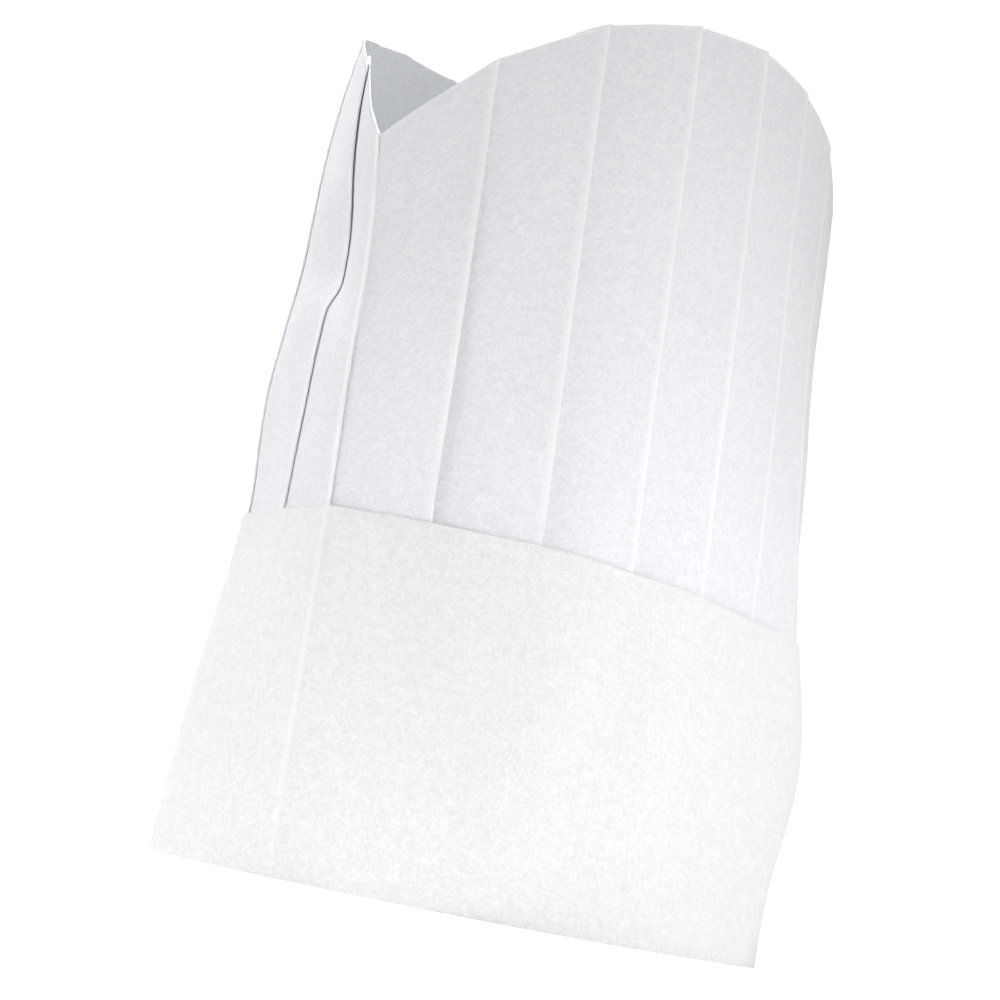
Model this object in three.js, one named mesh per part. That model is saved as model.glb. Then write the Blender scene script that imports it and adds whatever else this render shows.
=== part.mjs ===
// A disposable chef hat: a tall open-topped toque of thin non-woven sheet, opened out of its flat pack.
// Millimetres, +Z up. It stands on the rim of its band, which lies in the plane z = 0, and the origin is
// in that plane, below the middle of the hat's length and width. A fold is a vertical line on the hat:
// folds 0 and 9 are the two creases of the flat pack, and the others are the edges of the knife pleats,
// numbered anticlockwise round the hat as seen from above.

import * as THREE from 'three';

// Driving sizes
const hatHeight = 303;          // from the rim to the highest point of the arched top edge
const bandHeight = 113;
const pleatWidth = 34;          // the part of a pleat that shows, measured round the hat
const pleatsPerSide = 9;        // from one flat-pack crease to the other
const archDrop = 71;            // the top edge is this much lower at the two creases
const pleatTuck = 10;           // how far each pleat's edge is folded back under it
const crownHem = 22;            // the foot of the crown that the band covers
const sheet = 1;                // wall thickness
const layerGap = 0.4;           // air between two layers of a pleat
const clearance = 0.5;          // air between the crown and the band
const lapStart = 8;             // where the band's ends lap, counted in folds
const lapWidth = 27;

// Steps of the mesh
const crownLevels = 12;         // strips from the foot of the crown to its top edge
const bandLevels = 8;           // strips from the rim to the top of the band
const bandStepsPerPleat = 3;

// How many degrees the wall turns at each fold, at the rim and at the top. The other side of the hat,
// folds 9 to 17, repeats the same nine turns, and each column adds up to half a turn.
const turns = [
  { fold: 0, rim: 23.0, top: 83.9 },
  { fold: 1, rim: 23.1, top: 2.3 },
  { fold: 2, rim: 21.4, top: 13.4 },
  { fold: 3, rim: 15.3, top: 17.7 },
  { fold: 4, rim: 7.8, top: 14.2 },
  { fold: 5, rim: 10.8, top: 8.7 },
  { fold: 6, rim: 25.4, top: 9.4 },
  { fold: 7, rim: 33.4, top: 18.1 },
  { fold: 8, rim: 19.8, top: 12.3 },
];
const headings = { rim: -15.7, top: 9.5 };   // direction of the panel between folds 0 and 1

// Dents and bulges that the flat pack left in the sheet. Each is deepest at its fold and height, and
// fades out over its reaches. A positive depth goes into the hat.
const dents = [
  { fold: 17, foldReach: 1.5, height: 195, heightReach: 75, depth: 7.5 },
  { fold: 17, foldReach: 1.5, height: 120, heightReach: 75, depth: 4.5 },
  { fold: 16, foldReach: 1.5, height: 222, heightReach: 130, depth: -5.5 },
  { fold: 7, foldReach: 3, height: 70, heightReach: 55, depth: -5.5 },
  { fold: 7, foldReach: 3, height: 100, heightReach: 150, depth: -4 },
];

const colours = { crown: 0xeceef1, band: 0xf4f5f7 };

const foldCount = 2 * pleatsPerSide;
const radians = THREE.MathUtils.degToRad;
const lerp = THREE.MathUtils.lerp;

// The closed outline of the hat at the rim or at the top: one point for each fold, pleatWidth apart
function outline(column) {
  const points = [];
  const walker = new THREE.Vector2(0, 0);
  let heading = radians(headings[column]);
  for (let fold = 0; fold < foldCount; fold += 1) {
    points.push(walker.clone());
    walker.x += pleatWidth * Math.cos(heading);
    walker.y += pleatWidth * Math.sin(heading);
    heading += radians(turns[(fold + 1) % pleatsPerSide][column]);
  }
  const middle = points[0].clone().add(points[pleatsPerSide]).multiplyScalar(0.5);
  return points.map((point) => point.sub(middle));
}

const rimOutline = outline('rim');
const topOutline = outline('top');

// 1 at the middle of a dent, falling smoothly to 0 at its reach
function fade(distance, reach) {
  const share = Math.min(Math.abs(distance) / reach, 1);
  return Math.cos(share * Math.PI / 2) ** 2;
}

// Which fold a number beyond the first or last one means
function wrap(fold) {
  return (fold + foldCount) % foldCount;
}

// How many folds apart two folds are, the short way round
function foldDistance(a, b) {
  const apart = Math.abs(a - b) % foldCount;
  return Math.min(apart, foldCount - apart);
}

// A point of a fold line that runs straight from the rim outline to the top outline
function straightPoint(fold, z) {
  return rimOutline[wrap(fold)].clone().lerp(topOutline[wrap(fold)], z / hatHeight);
}

// To the right of a direction, which is outwards for an outline walked leftwards round the hat
function rightOf(direction) {
  return new THREE.Vector2(direction.y, -direction.x);
}

// The fold line with the dents in it
function foldPoint(fold, z) {
  const along = straightPoint(fold + 1, z).sub(straightPoint(fold - 1, z)).normalize();
  let depth = 0;
  for (const dent of dents) {
    const round = fade(foldDistance(fold, dent.fold), dent.foldReach);
    depth += dent.depth * round * fade(z - dent.height, dent.heightReach);
  }
  return straightPoint(fold, z).addScaledVector(rightOf(along), -depth);
}

// The top edge is a circular arc over each side, from crease to crease
function topEdgeHeight(fold) {
  const halfSpan = pleatsPerSide / 2 * pleatWidth;
  const radius = (halfSpan ** 2 + archDrop ** 2) / (2 * archDrop);
  const offCentre = Math.abs(fold % pleatsPerSide - pleatsPerSide / 2) * pleatWidth;
  return hatHeight - radius + Math.sqrt(radius ** 2 - offCentre ** 2);
}

// A closed line moved sideways, to the right if the distance is positive, with mitred corners
function moveSideways(line, distances) {
  return line.map((point, i) => {
    const before = line[(i + line.length - 1) % line.length];
    const after = line[(i + 1) % line.length];
    const rightIn = rightOf(new THREE.Vector2(point.x - before.x, point.y - before.y).normalize());
    const rightOut = rightOf(new THREE.Vector2(after.x - point.x, after.y - point.y).normalize());
    const mitre = rightIn.clone().add(rightOut).divideScalar(1 + rightIn.dot(rightOut));
    const moved = mitre.multiplyScalar(distances[i]);
    return new THREE.Vector3(point.x + moved.x, point.y + moved.y, point.z);
  });
}

// A ring-shaped wall from a stack of levels, each with the outer and the inner line of the wall
function ringWall(levels) {
  const count = levels[0].outer.length;
  const positions = [];
  for (const level of levels) {
    for (const point of [...level.outer, ...level.inner]) {
      positions.push(point.x, point.y, point.z);
    }
  }
  const outer = (level, i) => level * 2 * count + i % count;
  const inner = (level, i) => outer(level, i) + count;
  const triangles = [];
  const quad = (a, b, c, d) => triangles.push(a, b, c, a, c, d);
  const last = levels.length - 1;
  for (let i = 0; i < count; i += 1) {
    for (let level = 0; level < last; level += 1) {
      quad(outer(level, i), outer(level, i + 1), outer(level + 1, i + 1), outer(level + 1, i));
      quad(inner(level, i + 1), inner(level, i), inner(level + 1, i), inner(level + 1, i + 1));
    }
    quad(outer(last, i), outer(last, i + 1), inner(last, i + 1), inner(last, i));
    quad(outer(0, i + 1), outer(0, i), inner(0, i), inner(0, i + 1));
  }
  const geometry = new THREE.BufferGeometry();
  geometry.setAttribute('position', new THREE.Float32BufferAttribute(positions, 3));
  geometry.setIndex(triangles);
  geometry.computeVertexNormals();
  return geometry;
}

// One level of the crown. The wall's middle line runs along each panel from the inner layer to the outer
// one, folds back under itself at the next fold, and folds forward again into the next panel.
function crownLevel(share) {
  const layer = sheet + layerGap;
  const outerLayer = -sheet / 2;
  const middleLayer = outerLayer - layer;
  const innerLayer = middleLayer - layer;
  const corners = [];
  for (let fold = 0; fold < foldCount; fold += 1) {
    const z = lerp(bandHeight - crownHem, topEdgeHeight(fold), share);
    const ground = foldPoint(fold, z);
    corners.push(new THREE.Vector3(ground.x, ground.y, z));
  }
  const line = [];
  for (let fold = 0; fold < foldCount; fold += 1) {
    const start = corners[fold];
    const end = corners[wrap(fold + 1)];
    const along = new THREE.Vector2(end.x - start.x, end.y - start.y);
    const width = along.length();
    along.normalize();
    const right = rightOf(along);
    const place = (distance, offset) => {
      const x = start.x + along.x * distance + right.x * offset;
      const y = start.y + along.y * distance + right.y * offset;
      line.push(new THREE.Vector3(x, y, lerp(start.z, end.z, distance / width)));
    };
    const under = width - pleatTuck;
    place(0, innerLayer);
    place(under - layer, outerLayer);
    place(width, outerLayer);
    place(width, middleLayer);
    place(under, middleLayer);
    place(under, innerLayer);
  }
  const half = line.map(() => sheet / 2);
  return { outer: moveSideways(line, half), inner: moveSideways(line, half.map((value) => -value)) };
}

// The stretch of smooth curve from a fold to the next: it passes through every fold, and has a corner
// at the two creases
function bandStretch(fold, z) {
  const from = foldPoint(fold, z);
  const to = foldPoint(fold + 1, z);
  const chord = to.clone().sub(from);
  const isCrease = (number) => number % pleatsPerSide === 0;
  const before = isCrease(fold) ? from.clone().sub(chord) : foldPoint(fold - 1, z);
  const after = isCrease(fold + 1) ? to.clone().add(chord) : foldPoint(fold + 2, z);
  return new THREE.SplineCurve([before, from, to, after]);
}

// The places round the band, counted in folds, that each level of it has a point at: even steps, and
// two more at each end of the lap, where the wall steps from one thickness of sheet to two
const lapEnd = lapStart + lapWidth / pleatWidth;
const lapStep = sheet / pleatWidth;
const bandPlaces = [lapStart - lapStep, lapEnd, lapEnd + lapStep];
for (let step = 0; step < foldCount * bandStepsPerPleat; step += 1) {
  bandPlaces.push(step / bandStepsPerPleat);
}
bandPlaces.sort((a, b) => a - b);

// One level of the band
function bandLevel(z) {
  const line = [];
  const outerDistances = [];
  for (const place of bandPlaces) {
    const fold = Math.floor(place);
    const ground = bandStretch(fold, z).getPoint((1 + place - fold) / 3);
    const layers = place >= lapStart && place <= lapEnd ? 2 : 1;
    line.push(new THREE.Vector3(ground.x, ground.y, z));
    outerDistances.push(clearance + layers * sheet);
  }
  const innerDistances = line.map(() => clearance);
  return { outer: moveSideways(line, outerDistances), inner: moveSideways(line, innerDistances) };
}

function crownGeometry() {
  const levels = [];
  for (let level = 0; level <= crownLevels; level += 1) {
    levels.push(crownLevel(level / crownLevels));
  }
  return ringWall(levels);
}

function bandGeometry() {
  const levels = [];
  for (let level = 0; level <= bandLevels; level += 1) {
    levels.push(bandLevel(bandHeight * level / bandLevels));
  }
  return ringWall(levels);
}

function piece(name, geometry) {
  const material = new THREE.MeshStandardMaterial({ color: colours[name], roughness: 0.95, metalness: 0 });
  material.name = 'nonwoven';
  const mesh = new THREE.Mesh(geometry, material);
  mesh.name = name;
  return mesh;
}

const hat = new THREE.Group();
hat.name = 'disposable_chef_hat';
hat.add(piece('crown', crownGeometry()));
hat.add(piece('band', bandGeometry()));

// The band's bulge puts the hat off centre, so the whole hat moves back over the origin
const middle = new THREE.Box3().setFromObject(hat).getCenter(new THREE.Vector3());
hat.position.set(-middle.x, -middle.y, 0);

export default hat;
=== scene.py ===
# %% [markdown]
# # A disposable chef hat
# This is the tall paper-like hat that kitchens use for a day and throw away. It comes out of its
# packet folded flat, and it is opened out into a tube. Two pieces make it: a pleated crown that is
# open at the top, and a wide smooth band round its foot.
#
# Both pieces are thin sheets, so both are made in the same way here: a flat grid is the sheet as it
# was cut, a function says where each point of the grid goes when the sheet is folded, and a modifier
# gives the folded sheet its thickness. Modelling the folded form straight away would also work, but
# then nothing would tie the pleats to the length of sheet that they use up.

# %% The tools and the fixed frame
import math

import bpy
from mathutils import Matrix, Vector, noise


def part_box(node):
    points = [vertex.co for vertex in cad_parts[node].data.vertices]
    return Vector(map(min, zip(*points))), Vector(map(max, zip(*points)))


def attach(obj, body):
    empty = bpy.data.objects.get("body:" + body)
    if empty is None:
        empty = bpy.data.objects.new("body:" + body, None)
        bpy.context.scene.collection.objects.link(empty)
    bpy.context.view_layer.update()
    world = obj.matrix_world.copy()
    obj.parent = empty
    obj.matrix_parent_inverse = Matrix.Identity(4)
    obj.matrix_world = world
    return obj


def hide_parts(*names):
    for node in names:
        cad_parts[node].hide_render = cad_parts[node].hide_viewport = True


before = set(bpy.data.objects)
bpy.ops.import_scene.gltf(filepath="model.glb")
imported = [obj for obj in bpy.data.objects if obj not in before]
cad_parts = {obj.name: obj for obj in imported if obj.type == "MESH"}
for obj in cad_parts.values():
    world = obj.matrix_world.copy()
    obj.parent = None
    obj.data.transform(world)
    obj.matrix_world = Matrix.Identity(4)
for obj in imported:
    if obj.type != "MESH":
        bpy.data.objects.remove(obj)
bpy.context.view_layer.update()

# %% [markdown]
# ## The sizes and the plan of the folds
# The hat is described by its folds: vertical lines that are numbered anticlockwise, seen from above.
# Folds 0 and 9 are the creases of the flat pack, and the others are the edges of the pleats. The
# table says how sharply the wall turns at each fold, once for the rim and once for the top. The hat
# is round at the rim and a long lens at the top, as a flat tube is when it's opened from below.

# %% Sizes, in metres
PLEAT_WIDTH = 0.034         # the part of a pleat that shows, measured round the hat
PLEATS_PER_SIDE = 9         # from one flat-pack crease to the other
FOLDS = 2 * PLEATS_PER_SIDE
HAT_HEIGHT = 0.303          # from the rim to the highest point of the top edge
ARCH_DROP = 0.071           # the top edge is this much lower at the two creases
CROWN_HEM = 0.022           # the foot of the crown that the band covers
PLEAT_TUCK = 0.010          # how far each pleat's edge is folded back under it
LAP_START = 8               # the fold where the band's two ends start to lap
LAP_WIDTH = 0.027

cad_band_low, cad_band_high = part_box("band")
BAND_HEIGHT = cad_band_high.z - cad_band_low.z

TURNS = [
    # fold, degrees at the rim, degrees at the top
    (0, 23.0, 83.9),
    (1, 23.1, 2.3),
    (2, 21.4, 13.4),
    (3, 15.3, 17.7),
    (4, 7.8, 14.2),
    (5, 10.8, 8.7),
    (6, 25.4, 9.4),
    (7, 33.4, 18.1),
    (8, 19.8, 12.3),
]
RIM, TOP = 1, 2
HEADINGS = {RIM: -15.7, TOP: 9.5}       # degrees, the way the wall runs from fold 0 to fold 1
print("band height in mm:", round(BAND_HEIGHT * 1000, 1))

# %% [markdown]
# ## Dents and waves
# The flat pack leaves marks. Left of the front crease one fold of the crown is pushed in and the next
# one stands out, and the band bulges at its right. Each dent below moves one fold in or out and fades
# to nothing at its reaches, and these rows match the solids. The waves are smaller, a few millimetres
# at most, and they bend the sheet between the folds as well, so most of them are seen only as shading.
# A wave may lean, so that its ridge runs slantwise up the sheet.
#
# Both could be sculpted by hand. A row of numbers for each is easier to change, and it gives the crown
# and the band the same dent where they touch.

# %% The tables of dents and waves
FOLD_DENTS = [
    # fold, reach in folds, height, reach in height, depth into the hat
    (17, 1.5, 0.195, 0.075, 0.0075),
    (17, 1.5, 0.120, 0.075, 0.0045),
    (16, 1.5, 0.222, 0.130, -0.0055),
    (7, 3.0, 0.070, 0.055, -0.0055),
    (7, 3.0, 0.100, 0.150, -0.0040),
]
KINK_FOLD = 17              # this fold is buckled: it steps sideways at a kink
KINK_TOP = 0.190
KINK_BOTTOM = 0.179
KINK_FADE = 0.070           # above and below the kink, the step dies away over this height
KINK_OUT = 0.0022           # how far out it stands just below the kink
KINK_IN = 0.0010            # and how far in just above it
EDGE_SLIP = {16: 0.0020, 0: -0.0009}    # two folds slid up or down and took the cut edge with them
CROWN_WAVES = [
    # place in folds, lean in folds per metre, reach in folds, height, reach in height, rise
    (16.50, 0, 0.45, 0.208, 0.055, 0.0032),
    (16.00, 0, 0.60, 0.270, 0.110, 0.0012),
    (17.00, 0, 1.00, 0.268, 0.045, -0.0020),
    (16.05, 0, 0.90, 0.158, 0.050, 0.0026),
    (16.35, 8, 0.40, 0.188, 0.035, -0.0012),
    (1.00, 0, 0.85, 0.215, 0.085, -0.0029),
    (0.10, 0, 0.80, 0.255, 0.060, 0.0014),
    (0.75, 0, 0.60, 0.290, 0.060, 0.0014),
    (2.35, 0, 0.90, 0.235, 0.110, 0.0026),
    (0.60, -5, 0.70, 0.165, 0.050, -0.0010),
    (4.60, 0, 0.90, 0.200, 0.100, 0.0010),
]
BAND_WAVES = [
    # the crown's foot is stuck to the band and follows these too
    (2.05, 5, 0.85, 0.065, 0.120, 0.0052),
    (17.95, 0, 0.80, 0.020, 0.050, 0.0014),
    (17.50, 0, 0.60, 0.060, 0.060, 0.0010),
    (3.55, 3, 0.85, 0.070, 0.100, 0.0022),
    (16.40, 4, 0.80, 0.050, 0.080, 0.0012),
    (6.20, 0, 1.10, 0.080, 0.090, 0.0014),
    (10.40, 5, 1.20, 0.070, 0.100, 0.0016),
    (13.30, -4, 1.10, 0.060, 0.090, 0.0014),
]
print("rows:", len(FOLD_DENTS), "dents,", len(CROWN_WAVES) + len(BAND_WAVES), "waves")

# %% The helpers that read them
def fade(distance, reach):
    """1 at the middle of a dent, and 0 from its reach outwards."""
    return math.cos(min(abs(distance) / reach, 1) * math.pi / 2) ** 2


def clamp(value):
    return min(max(value, 0), 1)


def smooth(value):
    """Goes from 0 to 1 with a soft start and end."""
    value = clamp(value)
    return value * value * (3 - 2 * value)


def folds_apart(a, b):
    """How many folds lie between two places, the short way round."""
    apart = abs(a - b) % FOLDS
    return min(apart, FOLDS - apart)


def fold_dent(place, height):
    """How far the table of dents and the kink push a fold in."""
    depth = sum(
        depth * fade(folds_apart(place, fold), reach) * fade(height - middle, height_reach)
        for fold, reach, middle, height_reach, depth in FOLD_DENTS
    )
    if place % FOLDS == KINK_FOLD:
        below = smooth((KINK_TOP - height) / (KINK_TOP - KINK_BOTTOM))
        depth += KINK_IN * (1 - below) * fade(height - KINK_TOP, KINK_FADE)
        depth -= KINK_OUT * below * fade(height - KINK_BOTTOM, KINK_FADE)
    return depth


def wave_rise(table, place, height):
    """How far a table of waves lifts the sheet out at one place."""
    return sum(
        rise * fade(folds_apart(place, ridge + lean * (height - middle)), reach)
        * fade(height - middle, height_reach)
        for ridge, lean, reach, middle, height_reach, rise in table
    )


print("fold 17 is pushed in, 195 mm up, by in mm:", round(fold_dent(17, 0.195) * 1000, 1))

# %% [markdown]
# ## From the table to points
# A turtle walk lays the outline down: it steps one pleat, turns, and steps again. A side of the hat
# repeats the other side, so the walk closes by itself. Any height of the hat is then a blend of the
# rim's outline and the top's.

# %% Where each fold stands
def outline(column):
    """The outline at the rim or at the top, one point for each fold, round its own middle."""
    points = []
    walker = Vector((0, 0))
    heading = math.radians(HEADINGS[column])
    for fold in range(FOLDS):
        points.append(walker.copy())
        walker += PLEAT_WIDTH * Vector((math.cos(heading), math.sin(heading)))
        heading += math.radians(TURNS[(fold + 1) % PLEATS_PER_SIDE][column])
    middle = (points[0] + points[PLEATS_PER_SIDE]) / 2
    return [point - middle for point in points]


RIM_OUTLINE = outline(RIM)
TOP_OUTLINE = outline(TOP)


def straight_point(fold, height):
    """A point of the fold's straight line from the rim's outline to the top's."""
    return RIM_OUTLINE[fold % FOLDS].lerp(TOP_OUTLINE[fold % FOLDS], height / HAT_HEIGHT)


def outward_of(start, end):
    """The level direction that points out of the hat from the line between two points."""
    along = (end - start).normalized()
    return Vector((along.y, -along.x))


def fold_point(fold, height):
    """A point of the fold with the dents in it."""
    outward = outward_of(straight_point(fold - 1, height), straight_point(fold + 1, height))
    return straight_point(fold, height) - outward * fold_dent(fold, height)


print("fold 0 stands at, in mm:", [round(value * 1000) for value in fold_point(0, 0)])

# %% [markdown]
# ## The rounded outline
# The band is a plain strip that bends evenly, so it needs the same outline with rounded corners: a
# spline that passes through the folds. A bevel would cut the corners off and make the hat smaller.
# Only the two creases of the flat pack stay sharp: there the spline starts afresh, as if the outline
# ran on straight behind it.

# %% A point of the rounded outline
DIRECTION_STEP = 0.02       # in folds, each way along the spline to find its direction


def is_crease(fold):
    return fold % PLEATS_PER_SIDE == 0


def round_point(place, height):
    """A point of the outline with its corners rounded off, and its outward direction."""
    fold = math.floor(place)
    share = place - fold
    start = fold_point(fold, height)
    end = fold_point(fold + 1, height)
    before = 2 * start - end if is_crease(fold) else fold_point(fold - 1, height)
    after = 2 * end - start if is_crease(fold + 1) else fold_point(fold + 2, height)

    def spline(t):
        linear = end - before
        square = 2 * before - 5 * start + 4 * end - after
        cube = 3 * start - before - 3 * end + after
        return start + (linear * t + square * t**2 + cube * t**3) / 2

    return spline(share), outward_of(spline(share - DIRECTION_STEP), spline(share + DIRECTION_STEP))


print("halfway from fold 2 to fold 3, in mm:", [round(value * 1000) for value in round_point(2.5, 0)[0]])

# %% [markdown]
# ## The cut edge
# The crown was cut while it lay flat, in one sweep through both sides. Opened out, that sweep is an
# arc over each side, low at the creases and high between them. Circles have a formula, so the height
# of the arc is worked out at each fold.

# %% How high the top edge is at a fold
def top_edge_height(fold):
    """The height of the arc at a fold, and of the slip where there is one."""
    half_span = PLEATS_PER_SIDE / 2 * PLEAT_WIDTH
    radius = (half_span**2 + ARCH_DROP**2) / (2 * ARCH_DROP)
    off_centre = abs(fold % PLEATS_PER_SIDE - PLEATS_PER_SIDE / 2) * PLEAT_WIDTH
    arc = HAT_HEIGHT - radius + math.sqrt(radius**2 - off_centre**2)
    return arc + EDGE_SLIP.get(fold % FOLDS, 0)


print("top edge at the creases and at its highest, in mm:",
      round(top_edge_height(0) * 1000), round(top_edge_height(4) * 1000))

# %% [markdown]
# ## A sheet from a grid
# Blender's grid primitive is the flat sheet. Its points are read back by column and row and moved to
# their folded places. The UV map keeps the flat sheet's own metres, so the fibre pattern of the
# material runs through the folds as it does in real cloth and paper. One more value is kept for each
# point, 1 along a fold and 0 between folds, which whitens the sheet there: partly for the pressed
# fibres, and partly as a painted highlight where the fold's edge catches the light.

# %% The maker of sheets
SHARP_ANGLE = math.radians(60)      # a cut edge is sharper than this, and a fold's small steps are not


def deselect_all():
    """Operators act on whatever is selected, and the frame leaves its nodes selected."""
    bpy.ops.object.select_all(action="DESELECT")


def make_sheet(name, columns, rows, folded_place, flat_place, pressed_highlight):
    """A grid of columns by rows points, moved to folded_place(column, row)."""
    deselect_all()
    bpy.ops.mesh.primitive_grid_add(x_subdivisions=columns - 1, y_subdivisions=rows - 1, size=1)
    sheet = bpy.context.object
    sheet.name = sheet.data.name = name
    mesh = sheet.data
    where = [
        (round((vertex.co.x + 0.5) * (columns - 1)), round((vertex.co.y + 0.5) * (rows - 1)))
        for vertex in mesh.vertices
    ]
    for vertex, (column, row) in zip(mesh.vertices, where):
        vertex.co = folded_place(column, row)
    uv = mesh.uv_layers.active.data
    for loop in mesh.loops:
        uv[loop.index].uv = flat_place(*where[loop.vertex_index])
    # the whitening value: partly pressed fibres, partly a painted highlight on folds and cut edges
    press_highlight = mesh.attributes.new("pressed_highlight", "FLOAT", "POINT")
    press_highlight.data.foreach_set("value", [pressed_highlight(*place) for place in where])
    mesh.update()
    return sheet


def join_seam(sheet, nearness):
    """Merges the points of the first and last columns where the two ends of a sheet meet."""
    deselect_all()
    sheet.select_set(True)
    bpy.context.view_layer.objects.active = sheet
    bpy.ops.object.mode_set(mode="EDIT")
    bpy.ops.mesh.select_all(action="SELECT")
    bpy.ops.mesh.remove_doubles(threshold=nearness)
    bpy.ops.object.mode_set(mode="OBJECT")


def thicken(sheet, thickness):
    """Gives the sheet its thickness on both sides of the grid, and smooths all but the cut edges."""
    deselect_all()
    sheet.select_set(True)
    bpy.context.view_layer.objects.active = sheet
    wall = sheet.modifiers.new("wall", "SOLIDIFY")
    wall.thickness = thickness
    wall.offset = 0
    bpy.ops.object.modifier_apply(modifier=wall.name)
    bpy.ops.object.shade_smooth_by_angle(angle=SHARP_ANGLE)
    print(sheet.name, "has", len(sheet.data.polygons), "faces")


# %% [markdown]
# ## The crown
# A knife pleat is three layers deep: the face that shows, the tuck that runs back under it, and the
# start of the next face. The path below walks once through a pleat and says of each point how far
# along the pleat it is and how deep it lies. The turn at each end of the tuck is a small half circle,
# because a sharp corner would catch no light.

# %% The path through one pleat
CROWN_SHEET = 0.0003
LAYER = 0.00045
FACE_STEPS = 12
TURN_STEPS = 4
FOLD_STRIP = 0.0009         # the last strip of the face, whitened partly for the fold's pressing and partly as a painted highlight


def pleat_path():
    """Points of one pleat as (distance along it, depth below its face)."""
    turn = LAYER / 2
    under = PLEAT_WIDTH - PLEAT_TUCK
    path = [(PLEAT_WIDTH * step / FACE_STEPS, 0.0) for step in range(FACE_STEPS)]
    path.append((PLEAT_WIDTH - FOLD_STRIP, 0.0))
    for step in range(TURN_STEPS + 1):
        angle = math.pi * step / TURN_STEPS
        path.append((PLEAT_WIDTH + turn * math.sin(angle), turn * (1 - math.cos(angle))))
    path.append((PLEAT_WIDTH - PLEAT_TUCK / 2, LAYER))
    for step in range(TURN_STEPS + 1):
        angle = math.pi * step / TURN_STEPS
        path.append((under - turn * math.sin(angle), LAYER + turn * (1 - math.cos(angle))))
    path.append((PLEAT_WIDTH - PLEAT_TUCK / 2, 2 * LAYER))
    return path


PLEAT_PATH = pleat_path()
used = [0.0]
for before, after in zip(PLEAT_PATH, PLEAT_PATH[1:] + [(PLEAT_WIDTH, 2 * LAYER)]):
    used.append(used[-1] + math.dist(before, after))
PLEAT_SHEET = used[-1]
print("sheet in one pleat, in mm:", round(PLEAT_SHEET * 1000, 1))

# %% [markdown]
# ## How the pleats sit
# In a new hat the pleats are ironed flat. Opening it out lifts some of their edges a little above the
# next face, which gives the thin shadow on one side of the fold. The faces bow out slightly, and the
# whole sheet is never quite even, so a slow noise moves it by a fraction of a millimetre. The band
# holds the pleats down, so all of this fades out towards it, except for a little of the bow.

# %% The lift, the bow and the unevenness
PLEAT_LIFTS = [
    # fold, height, reach in height, lift of the edge
    (17, 0.228, 0.060, 0.0006),
    (17, 0.140, 0.060, 0.0002),
    (1, 0.113, 0.150, 0.0019),
    (2, 0.113, 0.130, 0.0019),
    (3, 0.150, 0.120, 0.0004),
    (4, 0.220, 0.100, 0.0006),
    (5, 0.220, 0.120, 0.0005),
    (6, 0.200, 0.140, 0.0006),
    (7, 0.200, 0.140, 0.0005),
]
PRESSED_FOLDS = (0, 9, 16)  # their edges lie flat
SIDE_LIFT = 0.0004          # for folds that no row names
FACE_BOW = 0.0010
HEM_BOW = 0.3               # the share of the bow that is left under the band
HEM_ROUND = 0.035           # the foot is stuck to the band, and is rounded like it up to this far above
UNEVEN_DEPTH = 0.0010
UNEVEN_SIZE = 0.060
FINER = 3                   # a finer noise rides on the slow one
FINER_SHARE = 1 / 7
UNEVEN_FREE = 0.030         # the unevenness grows to its full depth over this height above the band
BOW_FREE = 0.020            # the bow and the waves over this one
EDGE_FREE = 0.006           # and the lift over this one
LAYER_SLIP = 0.0005         # the hidden layers end a little higher or lower than the face
SLIP_TURN = 2.1             # radians from one pleat to the next, so that each slips by another amount
LIFTED_FROM = 0.45          # the share of a pleat's width at which its edge starts to lift
LIFT_END = 0.25             # under the tuck, the lift is gone within this share of a layer
print("lifted folds:", sorted({row[0] for row in PLEAT_LIFTS}))

# %% A point of the folded crown
def pleat_lift(fold, height):
    """How far the edge at a fold stands off the next face."""
    fold = fold % FOLDS
    lift = 0 if fold in PRESSED_FOLDS else SIDE_LIFT
    listed = [lift * fade(height - middle, reach)
              for number, middle, reach, lift in PLEAT_LIFTS if number == fold]
    if listed:
        lift = max(sum(listed), SIDE_LIFT / 2)
    return lift * clamp((height - BAND_HEIGHT) / EDGE_FREE)


def unevenness(place, height):
    """Slow noise that goes once round the hat without a break."""
    angle = 2 * math.pi * place / FOLDS
    reach = FOLDS * PLEAT_WIDTH / (2 * math.pi)
    where = Vector((reach * math.cos(angle), reach * math.sin(angle), height)) / UNEVEN_SIZE
    rise = noise.noise(where) + noise.noise(where * FINER) * FINER_SHARE
    return UNEVEN_DEPTH * clamp((height - BAND_HEIGHT) / UNEVEN_FREE) * rise


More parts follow.
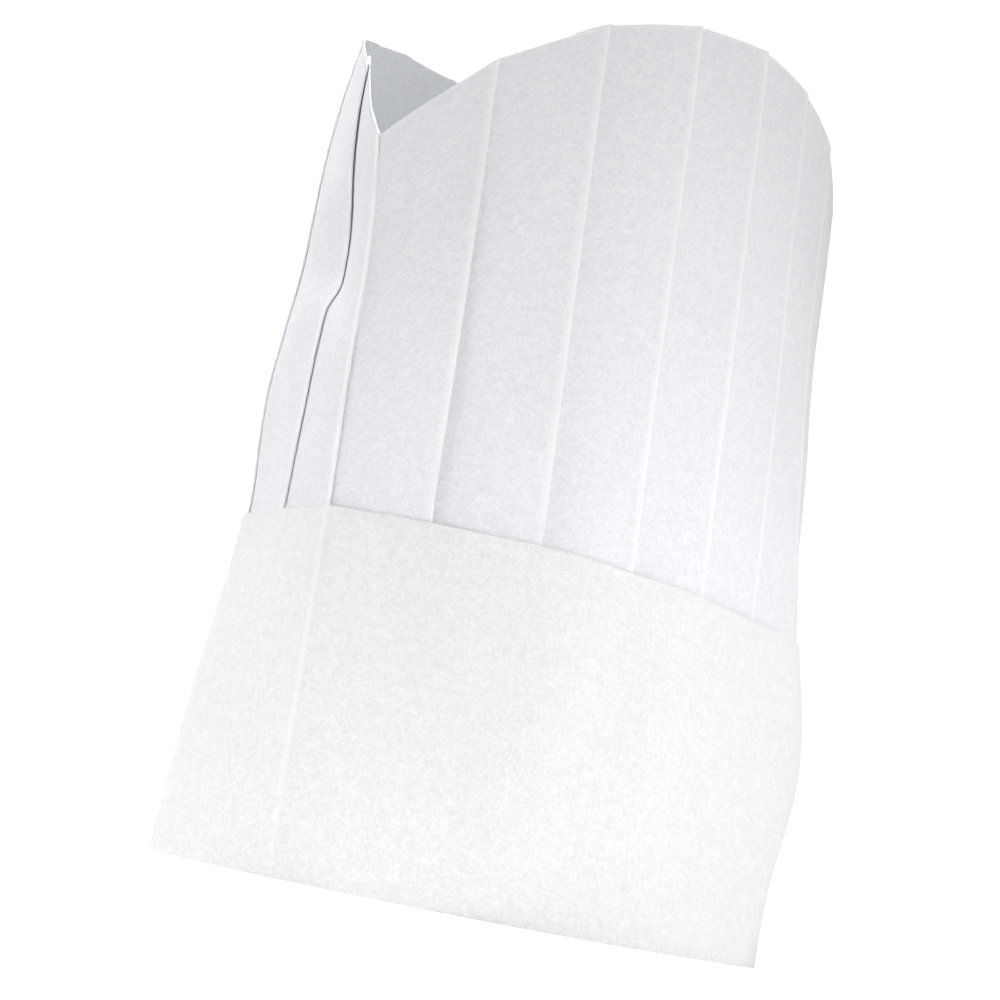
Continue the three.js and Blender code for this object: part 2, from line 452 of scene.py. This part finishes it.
def crown_point(pleat, distance, depth, share):
    """A point of the crown: along one pleat, down by depth, and up by a share of the wall's height."""
    foot = BAND_HEIGHT - CROWN_HEM
    along = distance / PLEAT_WIDTH
    left_height = foot + (top_edge_height(pleat) - foot) * share
    right_height = foot + (top_edge_height(pleat + 1) - foot) * share
    height = left_height + (right_height - left_height) * along
    left = fold_point(pleat, left_height)
    right = fold_point(pleat + 1, right_height)
    outward = outward_of(left, right)
    place = pleat + along
    face_lift = clamp((along - LIFTED_FROM) / (1 - LIFTED_FROM)) ** 2
    tuck_lift = clamp(1 - (PLEAT_WIDTH - distance) / PLEAT_TUCK) ** 2
    layer = min(depth / LAYER, 2)
    if layer <= 1:
        lifted = face_lift + (tuck_lift - face_lift) * layer
    else:
        lifted = tuck_lift * max(1 - (layer - 1) / LIFT_END, 0)
    free = clamp((height - BAND_HEIGHT) / BOW_FREE)
    bow = FACE_BOW * (HEM_BOW + (1 - HEM_BOW) * free) * math.sin(math.pi * clamp(along))
    out = -2 * LAYER * (1 - along) - depth - CROWN_SHEET / 2 + bow
    out += pleat_lift(pleat + 1, height) * lifted
    out += unevenness(place, height) + wave_rise(CROWN_WAVES, place, height) * free
    out += wave_rise(BAND_WAVES, place, height)
    rounded, _ = round_point(pleat + clamp(along), height)
    roundness = 1 - smooth((height - BAND_HEIGHT) / HEM_ROUND)
    point = left.lerp(right, along).lerp(rounded, roundness) + outward * out
    slip = LAYER_SLIP * layer * math.sin(SLIP_TURN * (pleat % FOLDS)) * share
    return Vector((point.x, point.y, height + slip))


print("the middle of pleat 3's top edge, in mm:",
      [round(value * 1000) for value in crown_point(3, PLEAT_WIDTH / 2, 0, 1)])

# %% Fold the crown
CROWN_ROWS = 56
EDGE_STRIP = 0.0015         # the narrow last row, where the cut edge gets a painted highlight this far down
CUT_EDGE_HIGHLIGHT = 0.5        # the strength of the cut edge's painted highlight, if a fold's whitening is 1
FOLD_HIGHLIGHT = 0.5            # a fold's whitening, partly a painted highlight, is less where it starts to turn, but a crease's is not
NEARLY_THERE = 0.00001      # sums of decimals aren't exact, so places are compared with this to spare


def crown_share(row):
    """Even rows up to the top, and a narrow one along the cut edge."""
    wall = HAT_HEIGHT - (BAND_HEIGHT - CROWN_HEM)
    if row == CROWN_ROWS - 1:
        return 1.0
    return (1 - EDGE_STRIP / wall) * row / (CROWN_ROWS - 2)


def crown_column(column):
    """Which pleat a column of the grid lies in, and its place on the pleat's path."""
    return divmod(column, len(PLEAT_PATH))


def crown_folded(column, row):
    """Where two pleats meet, the point lies halfway between the end of one and the start of the next."""
    pleat, step = crown_column(column)
    distance, depth = PLEAT_PATH[step]
    share = crown_share(row)
    point = crown_point(pleat, distance, depth, share)
    if step == 0:
        before = crown_point(pleat - 1, PLEAT_WIDTH, 2 * LAYER, share)
        point = (point + before) / 2
    return point


def crown_flat(column, row):
    pleat, step = crown_column(column)
    foot = BAND_HEIGHT - CROWN_HEM
    return pleat * PLEAT_SHEET + used[step], foot + (HAT_HEIGHT - foot) * crown_share(row)


# How white a point is painted: partly pressed fibres, partly a painted highlight on folds and the cut
# edge.
def crown_pressed_highlight(column, row):
    pleat, step = crown_column(column)
    distance, depth = PLEAT_PATH[step]
    before_fold = PLEAT_WIDTH - distance
    if before_fold < NEARLY_THERE and depth < LAYER + NEARLY_THERE:
        return 1.0
    if before_fold < FOLD_STRIP + NEARLY_THERE and depth == 0:
        return 1.0 if is_crease(pleat + 1) else FOLD_HIGHLIGHT
    return CUT_EDGE_HIGHLIGHT if row == CROWN_ROWS - 1 else 0.0


crown = make_sheet("pleated_crown", FOLDS * len(PLEAT_PATH) + 1, CROWN_ROWS,
                   crown_folded, crown_flat, crown_pressed_highlight)
join_seam(crown, NEARLY_THERE)
thicken(crown, CROWN_SHEET)

# %% [markdown]
# ## The band
# The band is a plain strip bent into a ring along the rounded outline. The ends of the strip lap near
# the back crease, where one runs over the other. The flat pack has pressed a thin ridge into the band
# at each crease and a fainter one near the lap, and the grid gets columns of its own there, because
# even steps would miss them.

# %% The path round the band
BAND_SHEET = 0.0005
BAND_GAP = 0.0008           # from the crown's outer layer to the middle of the band's sheet
BAND_STEPS = 6
BAND_ROWS = 30
LAP_END = LAP_START + FOLDS + LAP_WIDTH / PLEAT_WIDTH
LAP_SKEW = 0.0008           # the strip's last end is stuck on a little too high
SKEW_FROM = LAP_END - 1.8   # and climbs over one fold from here
OVER_FROM = LAP_START + FOLDS - 0.3     # the strip climbs onto its own start over this last stretch
OVER_HEIGHT = BAND_SHEET + 0.0002
PRESSED_LINES = [
    # place in folds, height of the pressed ridge
    (9.0, 0.0002),
    (18.0, 0.0002),
    (25.2, 0.0001),
]
RIDGE = 0.0008 / PLEAT_WIDTH        # half the width of a ridge, in folds
RIDGE_CLEAR = 1.5 * RIDGE           # no even step comes closer to a line than this
BAND_PRESS_HIGHLIGHT = 0.8            # the band is thicker, and its creases get less whitening, partly pressing and partly a painted highlight
LOW_PRESS_HIGHLIGHT = 0.3             # at the rim a crease's whitening falls to this share


def band_places():
    """Where the strip has a column of points: even steps, and a few more at each pressed line."""
    steps = round((LAP_END - LAP_START) * BAND_STEPS)
    places = {LAP_START + (LAP_END - LAP_START) * step / steps for step in range(steps + 1)}
    for line, _ in PRESSED_LINES:
        places = {place for place in places if abs(place - line) > RIDGE_CLEAR}
        places |= {line - RIDGE, line - RIDGE / 2, line, line + RIDGE / 2, line + RIDGE}
    return sorted(places)


BAND_PLACES = band_places()
print("columns round the band:", len(BAND_PLACES))

# %% Fold the band
def band_height_at(place, row):
    """A row's height on the straight strip, and how much the skew of its end lifts it."""
    return BAND_HEIGHT * row / (BAND_ROWS - 1), LAP_SKEW * clamp(place - SKEW_FROM)


def band_folded(column, row):
    place = BAND_PLACES[column]
    height, skew = band_height_at(place, row)
    point, outward = round_point(place, height)
    over = clamp((place - OVER_FROM) / (LAP_START + FOLDS - OVER_FROM))
    out = BAND_GAP + over * OVER_HEIGHT + wave_rise(BAND_WAVES, place, height)
    for line, ridge in PRESSED_LINES:
        out += ridge * fade(place - line, RIDGE)
    point = point + outward * out
    return Vector((point.x, point.y, height + skew))


def band_flat(column, row):
    place = BAND_PLACES[column]
    return place * PLEAT_WIDTH, sum(band_height_at(place, row))


# The whitening of the band's creases: partly pressed fibres, partly a painted highlight, weaker towards
# the rim.
def band_pressed_highlight(column, row):
    place = BAND_PLACES[column]
    highlight_up_to = LOW_PRESS_HIGHLIGHT + (1 - LOW_PRESS_HIGHLIGHT) * row / (BAND_ROWS - 1)
    return BAND_PRESS_HIGHLIGHT * highlight_up_to * max(fade(place - line, RIDGE) for line, _ in PRESSED_LINES)


band = make_sheet("headband", len(BAND_PLACES), BAND_ROWS, band_folded, band_flat, band_pressed_highlight)
thicken(band, BAND_SHEET)

# %% [markdown]
# ## Into place
# The plan was drawn round its own middle. The solids stand over the middle of the whole hat, which
# the bulge of the band moves a little, so both sheets move by the distance between the two middles.

# %% Move both sheets over the solids
def box_middle(low, high):
    return (Vector(low) + Vector(high)) / 2


def mesh_box(piece):
    corners = [vertex.co for vertex in piece.data.vertices]
    return [Vector([pick(corner[axis] for corner in corners) for axis in range(3)])
            for pick in (min, max)]


shift = box_middle(cad_band_low, cad_band_high) - box_middle(*mesh_box(band))
shift.z = 0
for piece in (crown, band):
    piece.data.transform(Matrix.Translation(shift))
print("both sheets moved by, in mm:", [round(value * 1000, 2) for value in shift])

# %% [markdown]
# ## What the sheet is made of
# Non-woven sheet is a felt of short fibres, laid down wet and pressed. Close up it has two looks: a
# cloudy unevenness a few millimetres across, and a web of fibres under a millimetre wide. A shader
# node group makes both from the sheet's own UV metres and gives out a tint and a height, so that the
# crown and the band share it with their own values.

# %% The fibre group
def new_group(name, inputs, outputs):
    """An empty shader node group with its sockets."""
    group = bpy.data.node_groups.new(name, "ShaderNodeTree")
    for label, kind, value in inputs:
        socket = group.interface.new_socket(label, in_out="INPUT", socket_type=kind)
        if value is not None:
            socket.default_value = value
    for label, kind in outputs:
        group.interface.new_socket(label, in_out="OUTPUT", socket_type=kind)
    return group


def fibre_group():
    """Cloudy blotches and a fine web of fibres, as a tint and a height."""
    number, vector = "NodeSocketFloat", "NodeSocketVector"
    group = new_group(
        "nonwoven_fibres",
        [("Vector", vector, None), ("Cloud Size", number, 0.004), ("Fibre Size", number, 0.0018),
         ("Cloud Share", number, 0.65)],
        [("Tint", number), ("Height", number)],
    )
    nodes, links = group.nodes, group.links
    given = nodes.new("NodeGroupInput")
    result = nodes.new("NodeGroupOutput")

    def per_metre(size_socket):
        """A noise's scale from the size of its blotches in metres."""
        divide = nodes.new("ShaderNodeMath")
        divide.operation = "DIVIDE"
        divide.inputs[0].default_value = 1.0
        links.new(given.outputs[size_socket], divide.inputs[1])
        return divide.outputs[0]

    clouds = nodes.new("ShaderNodeTexNoise")
    clouds.inputs["Detail"].default_value = 4
    clouds.inputs["Roughness"].default_value = 0.65
    links.new(given.outputs["Vector"], clouds.inputs["Vector"])
    links.new(per_metre("Cloud Size"), clouds.inputs["Scale"])

    def strands(offset):
        """Thin wandering lines: the places where a noise passes through its middle value."""
        moved = nodes.new("ShaderNodeVectorMath")
        moved.operation = "ADD"
        moved.inputs[1].default_value = offset
        links.new(given.outputs["Vector"], moved.inputs[0])
        wander = nodes.new("ShaderNodeTexNoise")
        wander.inputs["Detail"].default_value = 2
        wander.inputs["Distortion"].default_value = 0.8
        links.new(moved.outputs[0], wander.inputs["Vector"])
        links.new(per_metre("Fibre Size"), wander.inputs["Scale"])
        from_middle = nodes.new("ShaderNodeMath")
        from_middle.operation = "SUBTRACT"
        from_middle.inputs[1].default_value = 0.5
        links.new(wander.outputs["Fac"], from_middle.inputs[0])
        off_line = nodes.new("ShaderNodeMath")
        off_line.operation = "ABSOLUTE"
        links.new(from_middle.outputs[0], off_line.inputs[0])
        line = nodes.new("ShaderNodeMapRange")
        line.interpolation_type = "SMOOTHSTEP"
        line.inputs["From Max"].default_value = 0.10
        line.inputs["To Min"].default_value = 1.0
        line.inputs["To Max"].default_value = 0.0
        links.new(off_line.outputs[0], line.inputs["Value"])
        return line.outputs["Result"]

    web = nodes.new("ShaderNodeMath")
    web.operation = "ADD"
    links.new(strands((0.0, 0.0, 0.0)), web.inputs[0])
    links.new(strands((0.37, 0.71, 0.0)), web.inputs[1])

    both = nodes.new("ShaderNodeMix")
    both.data_type = "FLOAT"
    links.new(given.outputs["Cloud Share"], both.inputs["Factor"])
    links.new(web.outputs[0], both.inputs[2])
    links.new(clouds.outputs["Fac"], both.inputs[3])
    tint = nodes.new("ShaderNodeMapRange")
    tint.inputs["From Min"].default_value = 0.10
    tint.inputs["From Max"].default_value = 1.00
    links.new(both.outputs[0], tint.inputs["Value"])
    links.new(tint.outputs["Result"], result.inputs["Tint"])
    links.new(both.outputs[0], result.inputs["Height"])
    return group


FIBRES = fibre_group()
print("node group:", FIBRES.name)

# %% [markdown]
# ## The two materials
# The crown's sheet is thinner and a little cooler in colour than the band's. Both are matt and lightly
# furry, which the sheen gives. Subsurface light would suit thin felt too, but here it makes every
# pleat's tuck show through as a dark stripe, and the real hat has none. Where a fold was ironed in,
# the sheet is painted whiter: partly for the flat-lying fibres, and partly as a painted highlight.

# %% The materials
def nonwoven(name, dark, light, pressed_highlight_white, cloud, fibre, cloud_share, relief):
    """A material for one sheet: its two tints, the size of its clouds and fibres, and its relief."""
    material = bpy.data.materials.new(name)
    material.use_nodes = True
    nodes, links = material.node_tree.nodes, material.node_tree.links
    surface = nodes["Principled BSDF"]
    surface.inputs["Roughness"].default_value = 0.92
    surface.inputs["Sheen Weight"].default_value = 0.12
    surface.inputs["Sheen Roughness"].default_value = 0.6
    surface.inputs["Specular IOR Level"].default_value = 0.25

    place = nodes.new("ShaderNodeUVMap")
    fibres = nodes.new("ShaderNodeGroup")
    fibres.node_tree = FIBRES
    fibres.inputs["Cloud Size"].default_value = cloud
    fibres.inputs["Fibre Size"].default_value = fibre
    fibres.inputs["Cloud Share"].default_value = cloud_share
    links.new(place.outputs["UV"], fibres.inputs["Vector"])

    tint = nodes.new("ShaderNodeMix")
    tint.data_type = "RGBA"
    tint.inputs[6].default_value = (*dark, 1)
    tint.inputs[7].default_value = (*light, 1)
    links.new(fibres.outputs["Tint"], tint.inputs["Factor"])

    # Folds and cut edges are painted whiter: partly pressed fibres, partly a painted highlight.
    press_highlight = nodes.new("ShaderNodeAttribute")
    press_highlight.attribute_name = "pressed_highlight"
    whiter = nodes.new("ShaderNodeMix")
    whiter.data_type = "RGBA"
    whiter.inputs[7].default_value = (*pressed_highlight_white, 1)
    links.new(press_highlight.outputs["Fac"], whiter.inputs["Factor"])
    links.new(tint.outputs[2], whiter.inputs[6])
    links.new(whiter.outputs[2], surface.inputs["Base Color"])

    bump = nodes.new("ShaderNodeBump")
    bump.inputs["Strength"].default_value = 0.5
    bump.inputs["Distance"].default_value = relief
    links.new(fibres.outputs["Height"], bump.inputs["Height"])
    links.new(bump.outputs["Normal"], surface.inputs["Normal"])
    return material


crown_material = nonwoven("crown_nonwoven", dark=(0.785, 0.80, 0.83), light=(0.915, 0.93, 0.95),
                          pressed_highlight_white=(0.965, 0.975, 0.985), cloud=0.0042, fibre=0.0018,
                          cloud_share=0.65, relief=0.00018)
band_material = nonwoven("band_nonwoven", dark=(0.775, 0.787, 0.797), light=(0.905, 0.912, 0.918),
                         pressed_highlight_white=(0.95, 0.955, 0.96), cloud=0.0040, fibre=0.0018,
                         cloud_share=0.65, relief=0.00020)
for piece, material in ((crown, crown_material), (band, band_material)):
    piece.data.materials.clear()
    piece.data.materials.append(material)
    print(piece.name, "is made of", material.name)

# %% [markdown]
# ## What each piece stands for
# The two solids are thicker than real sheets and stay for collision only. Each sheet takes the place of
# its solid and rides on the one body of the hat.

for piece, node, slot in ((crown, "crown", "crown_sheet"), (band, "band", "band_sheet")):
    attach(piece, "root")
    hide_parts(node)

# %% [markdown]
# ## The floor and the light
# A white hat on white needs care, because too much light hides every fold. The world is a soft grey
# that the camera sees as white, and so is the floor, like the lit table of a product photographer. Both
# need two strengths, one for the light that reaches the hat and one for what the camera sees, and the
# Light Path node tells them apart.

# %% The floor and the world
FLOOR_RADIUS = 6
FLOOR_GLOW = 0.1            # what the floor gives to the hat
FLOOR_SEEN = 1.0            # what the camera sees of its glow
WORLD_GLOW = 0.25
WORLD_SEEN = 1.1


def two_strengths(tree, socket, for_the_hat, for_the_camera):
    """Feeds a strength socket with one value for light that spreads and another for the camera."""
    rays = tree.nodes.new("ShaderNodeLightPath")
    strength = tree.nodes.new("ShaderNodeMapRange")
    strength.inputs["To Min"].default_value = for_the_hat
    strength.inputs["To Max"].default_value = for_the_camera
    tree.links.new(rays.outputs["Is Camera Ray"], strength.inputs["Value"])
    tree.links.new(strength.outputs["Result"], socket)


deselect_all()
bpy.ops.mesh.primitive_circle_add(vertices=96, radius=FLOOR_RADIUS, fill_type="NGON")
floor = bpy.context.object
floor.name = floor.data.name = "floor"
floor_material = bpy.data.materials.new("pale_floor")
floor_material.use_nodes = True
floor_surface = floor_material.node_tree.nodes["Principled BSDF"]
floor_surface.inputs["Base Color"].default_value = (0.86, 0.86, 0.865, 1)
floor_surface.inputs["Roughness"].default_value = 0.9
floor_surface.inputs["Specular IOR Level"].default_value = 0.1
floor_surface.inputs["Emission Color"].default_value = (1, 1, 1, 1)
two_strengths(floor_material.node_tree, floor_surface.inputs["Emission Strength"],
              FLOOR_GLOW, FLOOR_SEEN)
floor.data.materials.append(floor_material)

world = bpy.data.worlds.new("studio")
bpy.context.scene.world = world
world.use_nodes = True
background = world.node_tree.nodes["Background"]
background.inputs["Color"].default_value = (1, 1, 1, 1)
two_strengths(world.node_tree, background.inputs["Strength"], WORLD_GLOW, WORLD_SEEN)
print("staged:", floor.name, "in the world", world.name)

# %% [markdown]
# ## The lights
# One wide softbox over the hat would be the simplest light, but it would wipe out the waves. Here the
# key stands in front on the right and is stronger than the fill on the left, so each wave of the sheet
# has a bright side and a dim one. The weak lights low down are near: they fade upwards and leave the
# band brighter than the top of the crown, most of all where the near patch falls. Two lights from
# above reach the inside through the open top.

# %% The lights
def aim(lamp, target):
    """Turns a light to face a point."""
    lamp.rotation_euler = (target - lamp.location).to_track_quat("-Z", "Y").to_euler()


def softbox(name, location, target, size, power, spread=180):
    """A square area light that the camera doesn't see. A small spread is a grid that narrows it."""
    deselect_all()
    bpy.ops.object.light_add(type="AREA", location=location)
    lamp = bpy.context.object
    lamp.name = lamp.data.name = name
    lamp.data.size = size
    lamp.data.energy = power
    lamp.data.spread = math.radians(spread)
    lamp.visible_camera = False
    aim(lamp, Vector(target))
    return lamp


HAT_FOOT = (0, -0.02, 0.04)
HAT_BAND = (0.03, -0.08, 0.10)
HAT_MIDDLE = (0.035, -0.07, 0.13)
HAT_MOUTH = (0, 0.03, 0.25)
softbox("key", (0.475, -0.82, 0.30), HAT_BAND, 0.4, 2.4)
softbox("fill", (-0.82, -0.475, 0.60), HAT_BAND, 0.4, 1.1)
softbox("low_left", (-0.46, -0.39, 0.05), HAT_FOOT, 0.2, 0.11, spread=80)
softbox("low_right", (0.60, 0, 0.05), HAT_FOOT, 0.2, 0.18, spread=80)
softbox("near_patch", (0.24, -0.34, 0.15), HAT_MIDDLE, 0.08, 0.017, spread=60)
softbox("top_light", (0, 0, 1.30), HAT_MOUTH, 0.4, 0.75, spread=40)
softbox("top_left", (-0.60, -0.05, 1.20), HAT_MOUTH, 0.4, 0.70, spread=40)

# %% [markdown]
# ## The camera
# The photograph looks up at the hat from below, which a floor doesn't allow. The camera keeps the
# photograph's side of the hat and its lean, and stands just above the floor, close enough that it
# still looks up at the top edge about as steeply as the photograph does.

# %% The camera
CAMERA_DISTANCE = 0.70
CAMERA_HEIGHT = 0.015
CAMERA_PAN = math.radians(-1.17)
CAMERA_TILT = math.radians(10.28)
CAMERA_LEAN = math.radians(11.4)        # it leans sideways, so the hat stands aslant in the picture
SENSOR_WIDTH = 36
CAMERA_LENS = 72.4

ahead = Vector((math.sin(CAMERA_PAN) * math.cos(CAMERA_TILT),
                math.cos(CAMERA_PAN) * math.cos(CAMERA_TILT),
                math.sin(CAMERA_TILT)))
level_right = ahead.cross(Vector((0, 0, 1))).normalized()
level_up = level_right.cross(ahead)
lean = Matrix.Rotation(-CAMERA_LEAN, 3, ahead)
right, up = lean @ level_right, lean @ level_up
turn = Matrix((right, up, -ahead)).transposed().to_4x4()

camera_data = bpy.data.cameras.new("camera")
camera_data.sensor_width = SENSOR_WIDTH
camera_data.lens = CAMERA_LENS
camera_data.clip_start = 0.01
camera = bpy.data.objects.new("camera", camera_data)
bpy.context.collection.objects.link(camera)
camera.matrix_world = Matrix.Translation((shift.x, shift.y - CAMERA_DISTANCE, CAMERA_HEIGHT)) @ turn
bpy.context.scene.camera = camera
bpy.context.scene.view_settings.view_transform = "Standard"
print("camera at, in mm:", [round(value * 1000) for value in camera.matrix_world.translation])
